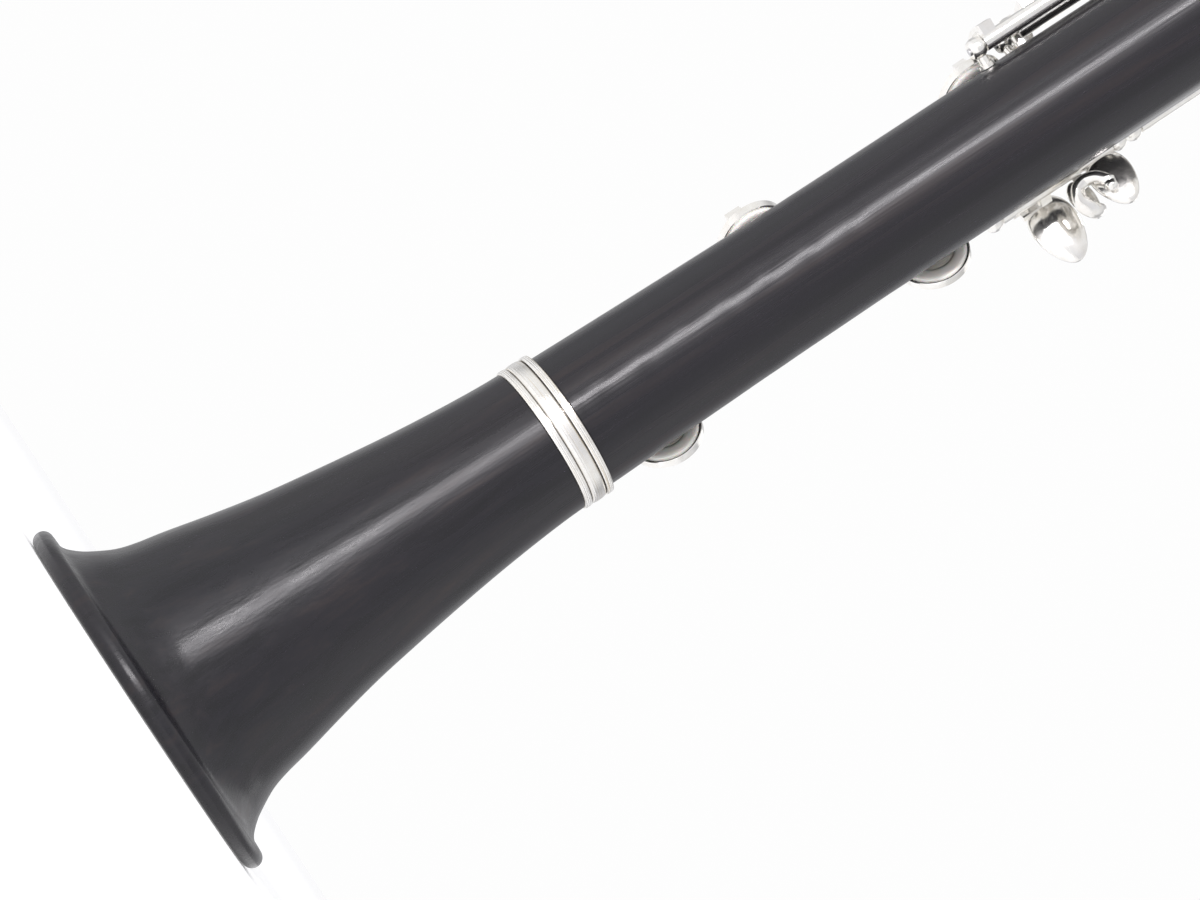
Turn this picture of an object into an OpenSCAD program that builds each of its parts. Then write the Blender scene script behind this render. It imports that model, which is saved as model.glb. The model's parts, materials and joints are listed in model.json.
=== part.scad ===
// Clarinet in B flat, standing on its bell, millimetres.
// The bore runs along +Z from the bell mouth at z = 0. The finger holes face -Y and the thumb side faces +Y.
// Angles t go round the bore from the front: t = 0 is -Y, t = 90 is +X, the player's left.

/* [Bell] */
// Height of the bell with its top ring
bell_h = 103; // [98:1:108]
// Outer radius of the rolled rim
rim_r = 39.5; // [38:0.5:41]
// Height of the bell's top ring
bell_ring_h = 7.2; // [5:0.1:9]

/* [Joints] */
// Visible length of the lower joint
lower_l = 238; // [236:1:242]
// Visible length of the upper joint
upper_l = 192; // [190:1:196]
// Visible length of the barrel
barrel_l = 65; // [60:0.5:68]
// Visible length of the mouthpiece
mouthpiece_l = 73; // [70:1:76]
// Radius of the straight bore
bore_r = 7.4; // [7.2:0.05:7.6]
// Slack between a tenon and its socket
slack = 0.08; // [0.05:0.01:0.12]

/* [Keywork] */
// Radius at which the long hinge rods run
hinge_r = 18.6; // [18.4:0.1:19]
// Diameter of a hinge tube
tube_d = 3.6; // [3.2:0.1:3.8]
// Diameter of a steel hinge rod
rod_d = 1.6; // [1.4:0.1:1.8]
// Running gap between rod and tube, on the radius
run_gap = 0.05; // [0.03:0.01:0.08]
// Radius of the four large pad cups
big_cup_r = 8.1; // [7.8:0.1:8.1]
// Inner radius of the finger rings
ring_in_r = 6.2; // [6:0.1:6.4]
// Outer radius of the finger rings
ring_out_r = 7.9; // [7.6:0.1:7.9]

/* [Hidden] */
$fn = 64;
eps = 0.01;
// Heights where one part ends and the next begins
z_lower = bell_h;
z_upper = z_lower + lower_l;
z_barrel = z_upper + upper_l;
z_mouth = z_barrel + barrel_l;
z_tip = z_mouth + mouthpiece_l;
// Tenon radii and lengths
bell_tenon_r = 12.4;
bell_tenon_l = 20;
mid_tenon_r = 11.4;
mid_tenon_l = 19;
top_tenon_r = 11.2;
top_tenon_l = 17;
mouth_tenon_r = 10.9;
mouth_tenon_l = 15.5;
cork_t = 0.75;
// Radial heights over the bore axis
seat_r = 13.1;
low_arm_r = 19.4;
cross_r = 21.4;
over_r = 24;
arm_t = 1.3;
head_half = 1.6;
end_gap = 0.25;
// Long hinge lines of the lower joint: [angle, low post height, high post height]
line_e = [15, 110, 236];
line_f = [1.5, 177, 231];
line_fs = [-12, 148, 236];
line_ab = [-46, 203, 235.2];
line_rings = [-46, 239.2, 326];
line_left_e = [66, 224.5, 328];
line_left_fs = [82, 226, 328];
line_left_f = [98, 216, 328];
line_sliver = [33, 256.5, 288];
LOWER_LINES = [line_e, line_f, line_fs, line_ab, line_rings,
    line_left_e, line_left_fs, line_left_f, line_sliver];
// Long hinge lines of the upper joint
line_second = [-38, 374, 410];
line_first = [-38, 415, 448];
line_thumb = [134, 402, 440];
line_eb = [40, 402, 426];
UPPER_LINES = [line_second, line_first, line_thumb, line_eb];
// Cross-hinged keys: [angle, pivot height, pad height, touch height, cup radius]
trill_1 = [-60, 404, 456, 352, 4.1];
trill_2 = [-78, 404, 469, 358, 4.1];
trill_3 = [-96, 404, 482, 352, 4.1];
trill_4 = [-114, 404, 495, 358, 4.1];
key_register = [180, 470, 512, 444, 4.4];
key_throat_a = [0, 472, 494, 458, 5.2];
key_throat_gs = [38, 466, 488, 450, 4.6];
key_cs_gs = [78, 378, 404, 354, 5.4];
SIDE_KEYS = [trill_1, trill_2, trill_3, trill_4];
SINGLE_KEYS = [key_register, key_throat_a, key_throat_gs, key_cs_gs];
cross_pivot_r = 18.2;
// Pads of the large lower keys: [angle, height, hinge line, opening angle]
pad_e = [-48, 120, line_e, -9];
pad_f = [-47, 188, line_f, -11];
pad_fs = [52, 157.6, line_fs, 0];
pad_ab = [54, 214, line_ab, 0];
// Finger holes: heights on the front
LOWER_HOLES = [250, 272, 294];
L3_Z = 362;
UPPER_RINGS = [393, 428];
THUMB_Z = 424;

// ---------- helpers ----------

// Places children at angle t and height z: local -Y points out, +X along growing t
module at(t, z) rotate([0, 0, t]) translate([0, 0, z]) children();

// Lays a cylinder along local -Y, from radius a to radius b
module radial(a, b, r1, r2) translate([0, -a, 0]) rotate([90, 0, 0]) cylinder(h = b - a, r1 = r1, r2 = r2);

// Turns children about the hinge at angle t
module about(t, ang, r = hinge_r)
    rotate([0, 0, t]) translate([0, -r, 0]) rotate([0, 0, ang])
        translate([0, r, 0]) rotate([0, 0, -t]) children();

// Curved arm round the bore between two angles
module arc_arm(t0, t1, r, z, w, thick = arm_t)
    translate([0, 0, z - w / 2]) rotate([0, 0, min(t0, t1) - 90])
        rotate_extrude(angle = abs(t1 - t0)) translate([r, 0]) square([thick, w]);

// Radial block at angle t between two radii
module block(t, z, r0, r1, w, h) at(t, z) translate([-w / 2, -r1, -h / 2]) cube([w, r1 - r0, h]);

// Outer radius of the two wooden joints at height z
function body_r(z) = z < 175 ? 14 + 1.05 * pow((175 - z) / 71, 1.6)
    : z < z_upper ? 14
    : 14 - 0.3 * (z - z_upper) / upper_l;

// Hinge tube of a long hinge line between two heights
module tube(line, z0, z1)
    at(line[0], z0) translate([0, -hinge_r, 0]) cylinder(h = z1 - z0, d = tube_d, $fn = 32);

// Rod hole of a long hinge line, cut through a whole key
module rod_hole(line) at(line[0], line[1] - 5) translate([0, -hinge_r, 0])
    cylinder(h = line[2] - line[1] + 10, r = rod_d / 2 + run_gap, $fn = 32);

// Limits of the tube space between the two posts of a line
function tube_lo(line) = line[1] + head_half + end_gap;
function tube_hi(line) = line[2] - head_half - end_gap;

// Pad cup at angle t and height z over a seat at radius s
module cup(t, z, r, s) at(t, z) translate([0, -s - 0.9, 0]) rotate([90, 0, 0]) difference() {
    rotate_extrude() polygon([[0, 0], [r - 0.15, 0], [r, 0.15], [r, 1.9],
        [r - 1.1, 2.7], [r * 0.5, 3.1], [0, 3.2]]);
    translate([0, 0, -eps]) cylinder(h = 1.9, r = r - 0.55);
}

// Pad held in that cup: a skin-covered disc with the dent of the seat in its face
module pad_disc(t, z, r, s) at(t, z) translate([0, -s - 0.05, 0]) rotate([90, 0, 0]) difference() {
    rotate_extrude() polygon([[0, 0], [r - 1, 0], [r - 0.62, 0.4], [r - 0.62, 2.6], [0, 2.6]]);
    translate([0, 0, -eps]) cylinder(h = 0.35, r = r * 0.55);
}

// Outline of a leaf-shaped touch of length l and width w, root at the origin, tip along -X
function leaf(l, w) = [for (a = [0:15:360 - 15]) let (u = (1 - cos(a)) / 2)
    [-l * u, w / 2 * sin(a) * (1.12 - 0.35 * u)]];

// Flat touch made from that outline, in the plane of the local X and Z axes
module touch(t, z, r, l, w, tilt, thick = 1.2)
    at(t, z) translate([0, -r, 0]) rotate([0, 0, tilt]) rotate([90, 0, 0])
        linear_extrude(thick) polygon(leaf(l, w));

// ---------- wooden bodies ----------

module bell() color("#2b2427") difference() {
    rotate_extrude($fn = 128) polygon(concat(
        [[36.4, 0], [38, 0.25], [rim_r - 0.5, 1.1], [rim_r, 2.4]],
        [[rim_r - 0.5, 3.5], [rim_r - 2.2, 4.1], [33.9, 4.9]],
        [[32, 6.9], [30.6, 9], [28.5, 13], [27.3, 17], [26.1, 23], [23.9, 32.7], [21.9, 42.6], [20.35, 52.6]],
        [[18.95, 62.6], [17.7, 72.6], [16.7, 82.7], [16.1, 90.8], [15.85, bell_h - bell_ring_h]],
        [[14.8, bell_h - bell_ring_h], [14.8, bell_h - 0.2], [bell_tenon_r + slack, bell_h - 0.2]],
        [[bell_tenon_r + slack, bell_h - bell_tenon_l - 0.3], [11.1, bell_h - bell_tenon_l - 0.3]],
        [[14, 62.6], [17, 42.6], [21.3, 23], [24.3, 13], [26.4, 9], [29.2, 4.6], [32.2, 1.2], [34.4, 0]]));
}

// Silver-plated band: flat, groove, rounded bead, groove, flat
module band(r_in, z0, h, r) rotate_extrude($fn = 96) translate([0, z0]) polygon(concat(
    [[r_in, 0], [r, 0], [r, h * 0.2], [r - 0.25, h * 0.24], [r - 0.25, h * 0.3]],
    [for (a = [-60:20:60]) [r - 0.35 + 0.75 * cos(a), h * 0.5 + h * 0.2 * sin(a) / sin(60)]],
    [[r - 0.25, h * 0.74], [r, h * 0.8], [r, h], [r_in, h]]));

module bell_ring() color("#d9d6cf") band(14.88, bell_h - bell_ring_h + 0.05, bell_ring_h - 0.25, 15.95);
module lower_joint_ring() color("#d9d6cf") band(13.08, z_upper - 6, 5.9, 14.9);
module barrel_lower_ring() color("#d9d6cf") band(14.58, z_barrel + 0.1, 6.4, 16.5);
module barrel_upper_ring() color("#d9d6cf") band(13.78, z_mouth - 6, 5.9, 15.7);

// Hole through the wall at angle t and height z, with a flat seat cut round it
module seat(t, z, r_cut, hole_r, s) at(t, z) {
    translate([0, -s, 0]) rotate([90, 0, 0]) cylinder(h = 6, r = r_cut);
    translate([0, -5, 0]) rotate([90, 0, 0]) cylinder(h = 12, r = hole_r);
}

module lower_joint() color("#2b2427") difference() {
    rotate_extrude($fn = 96) polygon(concat(
        [[10.4, z_lower - bell_tenon_l], [bell_tenon_r - 0.3, z_lower - bell_tenon_l]],
        [[bell_tenon_r, z_lower - bell_tenon_l + 0.4], [bell_tenon_r, z_lower - 17.5]],
        [[bell_tenon_r - cork_t, z_lower - 17.5], [bell_tenon_r - cork_t, z_lower - 5]],
        [[bell_tenon_r, z_lower - 5], [bell_tenon_r, z_lower], [15.05, z_lower]],
        [for (z = [106:10:176]) [body_r(z), z]],
        [[14, z_upper - 10.5], [14.6, z_upper - 8], [14.6, z_upper - 6.1]],
        [[13, z_upper - 6.1], [13, z_upper]],
        [[mid_tenon_r + slack, z_upper], [mid_tenon_r + slack, z_upper - mid_tenon_l - 0.3]],
        [[bore_r, z_upper - mid_tenon_l - 0.3], [bore_r, 200], [8, 150], [9.2, 112]]));
    seat(pad_e[0], pad_e[1], 9.2, 5.6, body_r(pad_e[1]) - 1);
    seat(pad_f[0], pad_f[1], 9.2, 5.4, seat_r);
    seat(pad_fs[0], pad_fs[1], 9.2, 5, seat_r);
    seat(pad_ab[0], pad_ab[1], 9.2, 4.6, seat_r);
    seat(0, 312, 6, 2.8, seat_r);
    seat(47, 280, 4.3, 2, seat_r);
    for (z = LOWER_HOLES) at(0, z) radial(5, 16, 5.3, 5.3);
}

module upper_joint() color("#2b2427") difference() {
    rotate_extrude($fn = 96) polygon(concat(
        [[bore_r, z_upper - mid_tenon_l], [mid_tenon_r - 0.3, z_upper - mid_tenon_l]],
        [[mid_tenon_r, z_upper - mid_tenon_l + 0.4], [mid_tenon_r, z_upper - 15.5]],
        [[mid_tenon_r - cork_t, z_upper - 15.5], [mid_tenon_r - cork_t, z_upper - 4]],
        [[mid_tenon_r, z_upper - 4], [mid_tenon_r, z_upper + 0.1]],
        [[14.5, z_upper + 0.1], [14.5, z_upper + 3]],
        [[14, z_upper + 8], [13.7, z_barrel - 8], [14.2, z_barrel - 2], [14.2, z_barrel]],
        [[top_tenon_r, z_barrel], [top_tenon_r, z_barrel + 3.5], [top_tenon_r - cork_t, z_barrel + 3.5]],
        [[top_tenon_r - cork_t, z_barrel + 14], [top_tenon_r, z_barrel + 14]],
        [[top_tenon_r, z_barrel + top_tenon_l - 0.4], [top_tenon_r - 0.4, z_barrel + top_tenon_l]],
        [[bore_r, z_barrel + top_tenon_l]]));
    at(0, L3_Z) radial(5, 16, 3.6, 4.4);
    for (z = UPPER_RINGS) at(0, z) radial(5, 16, 5.3, 5.3);
    at(180, THUMB_Z) radial(5, 16, 5.3, 5.3);
    seat(0, 379, 5.6, 2.6, seat_r - 0.1);
    seat(0, 442, 5.6, 2.6, seat_r - 0.1);
    seat(160, 407, 5.2, 2.4, seat_r - 0.1);
    seat(58, 420, 5.1, 2.4, seat_r - 0.1);
    at(180, key_register[2]) radial(5, 16, 2.3, 2.3);
    for (k = [trill_1, trill_2, trill_3, trill_4, key_throat_a, key_throat_gs, key_cs_gs])
        seat(k[0], k[2], k[4] + 0.6, k[4] * 0.5, seat_r - 0.1);
}

module barrel() color("#2b2427") rotate_extrude($fn = 96) polygon([
    [top_tenon_r + slack, z_barrel + 0.1], [14.5, z_barrel + 0.1], [14.5, z_barrel + 6.6],
    [16.3, z_barrel + 6.6], [16.2, z_barrel + 14], [15.5, z_barrel + 30], [15.1, z_barrel + 46],
    [15.5, z_mouth - 6.1], [13.7, z_mouth - 6.1], [13.7, z_mouth],
    [mouth_tenon_r + slack, z_mouth], [mouth_tenon_r + slack, z_mouth - mouth_tenon_l - 0.5],
    [bore_r, z_mouth - mouth_tenon_l - 0.5], [bore_r, z_barrel + top_tenon_l + 0.5],
    [top_tenon_r + slack, z_barrel + top_tenon_l + 0.5]]);

// Cork sleeve glued in the groove of a tenon
module cork_sleeve(r, z0, z1) color("#b98a5a") translate([0, 0, z0 + 0.1]) difference() {
    cylinder(h = z1 - z0 - 0.2, r = r + slack / 2);
    translate([0, 0, -1]) cylinder(h = z1 - z0 + 2, r = r - cork_t + 0.05);
}
module bell_tenon_cork() cork_sleeve(bell_tenon_r, z_lower - 17.5, z_lower - 5);
module middle_tenon_cork() cork_sleeve(mid_tenon_r, z_upper - 15.5, z_upper - 4);
module top_tenon_cork() cork_sleeve(top_tenon_r, z_barrel + 3.5, z_barrel + 14);
module mouthpiece_cork() cork_sleeve(mouth_tenon_r, z_mouth - 12.5, z_mouth - 3);

// ---------- mouthpiece, reed, ligature ----------

table_y = 10;
beak_l = 36;
reed_l = 67.6;

// Front face of the beak, as a slope in the plane of Y and Z
function beak_y(z) = -13.2 + (z - z_tip + beak_l) * (table_y - 0.8 + 13.2) / beak_l;

module mouthpiece() color("#17171a") difference() {
    rotate_extrude() polygon([[0, z_mouth - mouth_tenon_l], [mouth_tenon_r - 0.4, z_mouth - mouth_tenon_l],
        [mouth_tenon_r, z_mouth - mouth_tenon_l + 0.4], [mouth_tenon_r, z_mouth - 12.5],
        [mouth_tenon_r - cork_t, z_mouth - 12.5], [mouth_tenon_r - cork_t, z_mouth - 3],
        [mouth_tenon_r, z_mouth - 3], [mouth_tenon_r, z_mouth + 0.1], [14.6, z_mouth + 0.1],
        [14.6, z_mouth + 2], [13.8, z_mouth + 4], [13.2, z_mouth + 30], [13.1, z_tip], [0, z_tip]]);
    // flat table for the reed on the thumb side
    translate([-20, table_y, z_tip - 68.4]) cube([40, 20, 80]);
    // sloping beak on the front
    translate([20, 0, 0]) rotate([90, 0, -90]) linear_extrude(40)
        polygon([[-beak_y(z_tip - beak_l), z_tip - beak_l], [30, z_tip - beak_l],
            [30, z_tip + 1], [-beak_y(z_tip), z_tip + 1], [-beak_y(z_tip), z_tip]]);
    // sides that narrow towards the tip
    for (s = [-1, 1]) translate([0, 20, 0]) rotate([90, 0, 0]) linear_extrude(40)
        polygon([[s * 13.3, z_tip - 42], [s * 7.2, z_tip - 3], [s * 5.4, z_tip + 0.1],
            [s * 20, z_tip + 1], [s * 20, z_tip - 42]]);
    // bore and tapering chamber, open under the reed
    translate([0, 0, z_mouth - mouth_tenon_l - 1]) cylinder(h = 48, r = bore_r);
    translate([5.3, 0, 0]) rotate([90, 0, -90]) linear_extrude(10.6)
        polygon([[5, z_mouth + 28], [5, z_tip - 31], [-8.6, z_tip - 2], [-30, z_tip - 2],
            [-30, z_tip - 34], [-5, z_tip - 34], [-5, z_mouth + 28]]);
}

module reed() color("#d8bd82") intersection() {
    translate([-6.4, table_y + 0.08, z_tip - reed_l - 0.3]) rotate([90, 0, 90]) linear_extrude(12.8)
        polygon([[0, 0], [3.1, 0], [3.1, 32], [2.5, 38], [1.1, 53], [0.25, reed_l], [0, reed_l]]);
    translate([0, 0, z_tip - 70]) cylinder(h = 80, r = 13.15);
}

lig_z = z_mouth + 12;
lig_h = 24;
SCREW_Z = [lig_z + 5, lig_z + 19];
module ligature() color("#d9d6cf") difference() {
    union() {
        translate([0, 0.2, lig_z]) cylinder(h = lig_h, r1 = 14.8, r2 = 14.5);
        for (z = SCREW_Z) for (x = [-4.4, 4.4])
            translate([x, 15.2, z]) rotate([0, 90, 0]) cylinder(h = 2.8, r = 2, center = true);
    }
    translate([0, 0.2, lig_z - 1]) cylinder(h = lig_h + 2, r1 = 14.2, r2 = 13.9);
    translate([-2.8, 0, lig_z - 1]) cube([5.6, 30, lig_h + 2]);
    for (z = SCREW_Z) translate([-20, 15.2, z]) rotate([0, 90, 0]) cylinder(h = 40, r = 1.08);
}

module ligature_screws() color("#c9c5bb") for (z = SCREW_Z) translate([0, 15.2, z]) rotate([0, 90, 0]) {
    translate([0, 0, -10.5]) cylinder(h = 18, r = 1, $fn = 32);
    translate([0, 0, -16.5]) cylinder(h = 6.2, r1 = 2.2, r2 = 2.8, $fn = 24);
}

// ---------- tubes, chimneys, thumb rest ----------

module register_tube() color("#d9d6cf") at(180, key_register[2]) difference() {
    union() {
        radial(6.6, 14.6, 2.25, 2.25);
        radial(13.95, 14.25, 3.2, 3.2);
    }
    radial(5, 16, 1.5, 1.5);
}

// Raised rim in a finger hole
module chimney(t, z, hole) at(t, z) difference() {
    radial(8.6, 15.8, 5.25, 5.25);
    radial(8, 17, hole, hole);
}
module tone_hole_rings() color("#2b2427") {
    for (z = LOWER_HOLES) chimney(0, z, 3.9);
    for (z = UPPER_RINGS) chimney(0, z, 3.7);
}
module thumb_tube() color("#d9d6cf") chimney(180, THUMB_Z, 4);

rest_z = 291;
strap_r = 2;
module thumb_rest() color("#d9d6cf") difference() {
    union() {
        intersection() {
            translate([0, 0, rest_z - 17]) cylinder(h = 34, r = body_r(rest_z) + 1.45);
            translate([-6, 5, rest_z - 17]) cube([12, 20, 34]);
        }
        // hooked shelf that the thumb carries
        translate([-6, 14.6, rest_z - 5]) cube([12, 15.5, 2]);
        translate([-6, 28.1, rest_z - 9]) cube([12, 2, 5]);
        // strap ring above the shelf
        translate([0, 14.6, rest_z + 5]) translate([-1.25, 0, 0]) cube([2.5, 2.2, 2.5]);
        translate([-1.25, 18.6, rest_z + 6.25]) rotate([0, 90, 0]) cylinder(h = 2.5, r = 3.6);
    }
    translate([0, 0, rest_z - 20]) cylinder(h = 40, r = body_r(rest_z) + 0.05);
    translate([-5, 18.6, rest_z + 6.25]) rotate([0, 90, 0]) cylinder(h = 10, r = strap_r);
    for (z = [-12, 13]) at(180, rest_z + z) radial(10, 20, 1.3, 1.3);
}
module thumb_rest_screws() color("#c9c5bb") for (z = [-12, 13]) at(180, rest_z + z) difference() {
    union() {
        radial(body_r(rest_z) + 0.1, 15.6, 1.25, 1.25);
        radial(15.5, 16.5, 2.5, 2);
    }
    translate([-3, -16.6, -0.3]) cube([6, 0.6, 0.6]);
}

// ---------- posts, rods, springs ----------

// Post with a flat-sided ball head bored for its rod
module post(t, z) difference() {
    union() {
        at(t, z) intersection() {
            translate([0, -hinge_r, 0]) sphere(r = 2.35, $fn = 32);
            translate([-5, -hinge_r - 5, -head_half]) cube([10, 10, 2 * head_half]);
        }
        at(t, z) radial(11, hinge_r - 1.4, 1.35, 1.1);
        at(t, z) radial(11, body_r(z) + 0.9, 1.85, 1.85);
    }
    translate([0, 0, z - 5]) cylinder(h = 10, r = body_r(z) + 0.1, $fn = 96);
    at(t, z - 5) translate([0, -hinge_r, 0]) cylinder(h = 10, r = rod_d / 2 + 0.03, $fn = 32);
}

// Cylinder across the bore on a cross hinge, centred at local x
module cross_pin(x, h, r, lift = 0) translate([x, -cross_pivot_r - lift, 0]) rotate([0, 90, 0])
    cylinder(h = h, r = r, center = true, $fn = 32);

// Pair of ears that hold a cross-hinged key
ear_x = 2.6;
module ears(k) difference() {
    union() for (s = [-1, 1]) at(k[0], k[1]) {
        cross_pin(s * ear_x, 0.9, 1.9);
        translate([s * ear_x - 0.45, -cross_pivot_r, -1.6]) cube([0.9, cross_pivot_r - 11, 3.2]);
    }
    translate([0, 0, k[1] - 5]) cylinder(h = 10, r = body_r(k[1]) + 0.1, $fn = 96);
    at(k[0], k[1]) cross_pin(0, 20, 0.87);
}

module lower_posts() color("#d9d6cf") for (l = LOWER_LINES) for (z = [l[1], l[2]]) post(l[0], z);

// Rack of five ears between which the four side keys hang
module side_key_rack() difference() {
    for (i = [0:4]) at(trill_1[0] + 9 - 18 * i, trill_1[1]) {
        cross_pin(0, 1.2, 1.9, 0.2);
        translate([-0.6, -cross_pivot_r, -1.5]) cube([1.2, cross_pivot_r - 11, 3]);
    }
    translate([0, 0, trill_1[1] - 5]) cylinder(h = 10, r = body_r(trill_1[1]) + 0.1, $fn = 96);
    for (k = SIDE_KEYS) at(k[0], k[1]) cross_pin(0, 2 * ear_x + 0.2, 0.87);
}

module upper_posts() color("#d9d6cf") {
    for (l = UPPER_LINES) for (z = [l[1], l[2]]) post(l[0], z);
    side_key_rack();
    for (k = SINGLE_KEYS) ears(k);
}

module rods(lines) for (l = lines) at(l[0], l[1] - 1.9) translate([0, -hinge_r, 0])
    cylinder(h = l[2] - l[1] + 3.8, d = rod_d, $fn = 32);
module lower_hinge_rods() color("#a8a8ac") rods(LOWER_LINES);
module upper_hinge_rods() color("#a8a8ac") rods(UPPER_LINES);
module cross_hinge_rods() color("#a8a8ac") for (k = concat(SIDE_KEYS, SINGLE_KEYS))
    at(k[0], k[1]) cross_pin(0, 2 * ear_x, rod_d / 2);

// Thin blued-steel needles from the posts along the hinge tubes
module lower_needle_springs() color("#39414f") for (l = [line_e, line_f, line_fs, line_ab, line_rings])
    at(l[0], l[1] + 2.6) translate([0.9, -15.1, 0]) cylinder(h = 22, d = 0.5, $fn = 16);

// ---------- keys of the lower joint ----------

// Key on a long hinge line: its children and tube, with the rod hole cut through
module long_key(line, z0, z1) difference() {
    union() {
        tube(line, z0, z1);
        children();
    }
    rod_hole(line);
}

// Finger ring over a hole, lying on its stub arm
ring_lo = 15.9;
module finger_ring(t, z, hinge_t) {
    at(t, z) difference() {
        radial(ring_lo, ring_lo + 1.5, ring_out_r, ring_out_r);
        radial(10, 20, ring_in_r, ring_in_r);
    }
    arc_arm(hinge_t, t + 24 * sign(hinge_t - t), ring_lo + 0.2, z, 3.4, 1.5);
}

module lower_ring_key() color("#d9d6cf") long_key(line_rings, tube_lo(line_rings), tube_hi(line_rings)) {
    for (z = LOWER_HOLES) finger_ring(0, z, line_rings[0]);
    arc_arm(line_rings[0], 0, low_arm_r - 1.2, 312, 3.2);
    about(line_rings[0], -5) {
        cup(0, 312, 5.4, seat_r);
        block(0, 312, seat_r + 3, 18, 3.2, 3.2);
    }
    // bridge lug over the joint
    arc_arm(line_rings[0], -28, 19, 321, 3.2, 2);
    block(-29, 334, 19.6, 21, 3.2, 29);
}
module lower_ring_pad() color("#efe9dc") about(line_rings[0], -5) pad_disc(0, 312, 5.4, seat_r);

// Tail of a right-hand key, reached from below by a left-hand lever
module tail(line, z) {
    block(line[0], z, hinge_r, 23.6, 2.4, 2.4);
    arc_arm(line[0], 32, 22.9, z, 3, 1.1);
}

module e_b_key() color("#d9d6cf") long_key(line_e, tube_lo(line_e), tube_hi(line_e)) {
    block(line_e[0], pad_e[1], hinge_r, 22.6, 2.6, 4);
    arc_arm(line_e[0], pad_e[0] - 3, 21.6, pad_e[1], 3.6);
    about(line_e[0], -pad_e[3]) {
        cup(pad_e[0], pad_e[1], big_cup_r, body_r(pad_e[1]) - 1);
        block(pad_e[0], pad_e[1], 17.2, 20.3, 3.4, 3.6);
    }
    block(line_e[0], 225.9, hinge_r, over_r + 2.6, 2.6, 2.4);
    arc_arm(line_e[0], -42, over_r + 1.4, 225.9, 2.4);
    touch(-38, 224, over_r + 1.5, 10, 5, 12);
    tail(line_e, 228);
}
module e_b_pad() color("#efe9dc") about(line_e[0], -pad_e[3])
    pad_disc(pad_e[0], pad_e[1], big_cup_r, body_r(pad_e[1]) - 1);

module f_c_key() color("#d9d6cf") long_key(line_f, tube_lo(line_f), tube_hi(line_f)) {
    block(line_f[0], pad_f[1], hinge_r, 23, 2.6, 4);
    arc_arm(line_f[0], pad_f[0] + 1, 22.2, pad_f[1], 3.6);
    about(line_f[0], -pad_f[3]) {
        cup(pad_f[0], pad_f[1], big_cup_r, seat_r);
        block(pad_f[0], pad_f[1], 16.2, 20.6, 3.4, 3.6);
    }
    block(line_f[0], 211, hinge_r, over_r + 1.2, 2.6, 4);
    arc_arm(line_f[0], -38, over_r, 211, 3.6);
    arc_arm(-26, -41, over_r + 1, 213.7, 5.8);
    touch(-36, 216, over_r + 1.1, 15.8, 11, 26);
    tail(line_f, 220);
}
module f_c_pad() color("#efe9dc") about(line_f[0], -pad_f[3])
    pad_disc(pad_f[0], pad_f[1], big_cup_r, seat_r);

module f_sharp_c_sharp_key() color("#d9d6cf") long_key(line_fs, tube_lo(line_fs), tube_hi(line_fs)) {
    block(line_fs[0], pad_fs[1], hinge_r, cross_r + 0.8, 2.6, 4);
    arc_arm(line_fs[0], pad_fs[0] + 3, cross_r, pad_fs[1], 3.6);
    cup(pad_fs[0], pad_fs[1], big_cup_r, seat_r);
    block(pad_fs[0], pad_fs[1], 16.6, cross_r + 0.3, 3.4, 3.6);
    arc_arm(line_fs[0], -42, over_r, 231.8, 3);
    block(line_fs[0], 231.8, hinge_r, over_r + 0.9, 2.4, 3.6);
    tail(line_fs, 232.2);
    touch(-38, 230.4, over_r + 0.1, 10, 5, 12);
}
module f_sharp_c_sharp_pad() color("#efe9dc") pad_disc(pad_fs[0], pad_fs[1], big_cup_r, seat_r);

module a_flat_e_flat_key() color("#d9d6cf") long_key(line_ab, tube_lo(line_ab), tube_hi(line_ab)) {
    block(line_ab[0], pad_ab[1] + 1.5, hinge_r, cross_r + 0.5, 2.6, 2.6);
    arc_arm(line_ab[0], pad_ab[0] + 3, cross_r - 0.3, pad_ab[1] + 1.5, 3);
    cup(pad_ab[0], pad_ab[1], big_cup_r, seat_r);
    block(pad_ab[0], pad_ab[1] + 1.5, 16.6, cross_r, 3.4, 3);
    touch(-46, 229.7, hinge_r + 0.1, 13.2, 9.5, 24);
}
module a_flat_e_flat_pad() color("#efe9dc") pad_disc(pad_ab[0], pad_ab[1], big_cup_r, seat_r);

// Left-hand lever: tube on the left side, touch at the top, arm that lifts a tail at height z
module left_lever(line, z, touch_z, touch_l) long_key(line, tube_lo(line), tube_hi(line)) {
    block(line[0], z, hinge_r, cross_r + 1, 2.4, 3);
    arc_arm(line[0], 28, cross_r, z, 3, 1);
    touch(line[0] - 3, touch_z, hinge_r + 3.4, -touch_l, 9, -14);
    block(line[0], touch_z, hinge_r, hinge_r + 4.2, 2.6, 5);
}
module left_e_b_lever() color("#d9d6cf") left_lever(line_left_e, 228, 321, 15);
module left_f_c_lever() color("#d9d6cf") left_lever(line_left_f, 220, 299, 13);
module left_f_sharp_c_sharp_lever() color("#d9d6cf") left_lever(line_left_fs, 232, 310, 15);

// Slim key between two finger rings, with its small pad as a solid of its own
module sliver_key(line, touch_z, pad_t, pad_z, r) {
    color("#d9d6cf") long_key(line, tube_lo(line), tube_hi(line)) {
        arc_arm(line[0], 6, 17.4, touch_z, 3.4, 1.6);
        arc_arm(line[0], pad_t, 18, pad_z, 3, arm_t);
        cup(pad_t, pad_z, r, seat_r);
        block(pad_t, pad_z, 16.6, 18.9, 2.6, 2.8);
    }
    color("#efe9dc") pad_disc(pad_t, pad_z, r, seat_r);
}
module b_f_sharp_sliver_key() sliver_key(line_sliver, 261, 47, 280, 3.6);

// ---------- keys of the upper joint ----------

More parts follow.
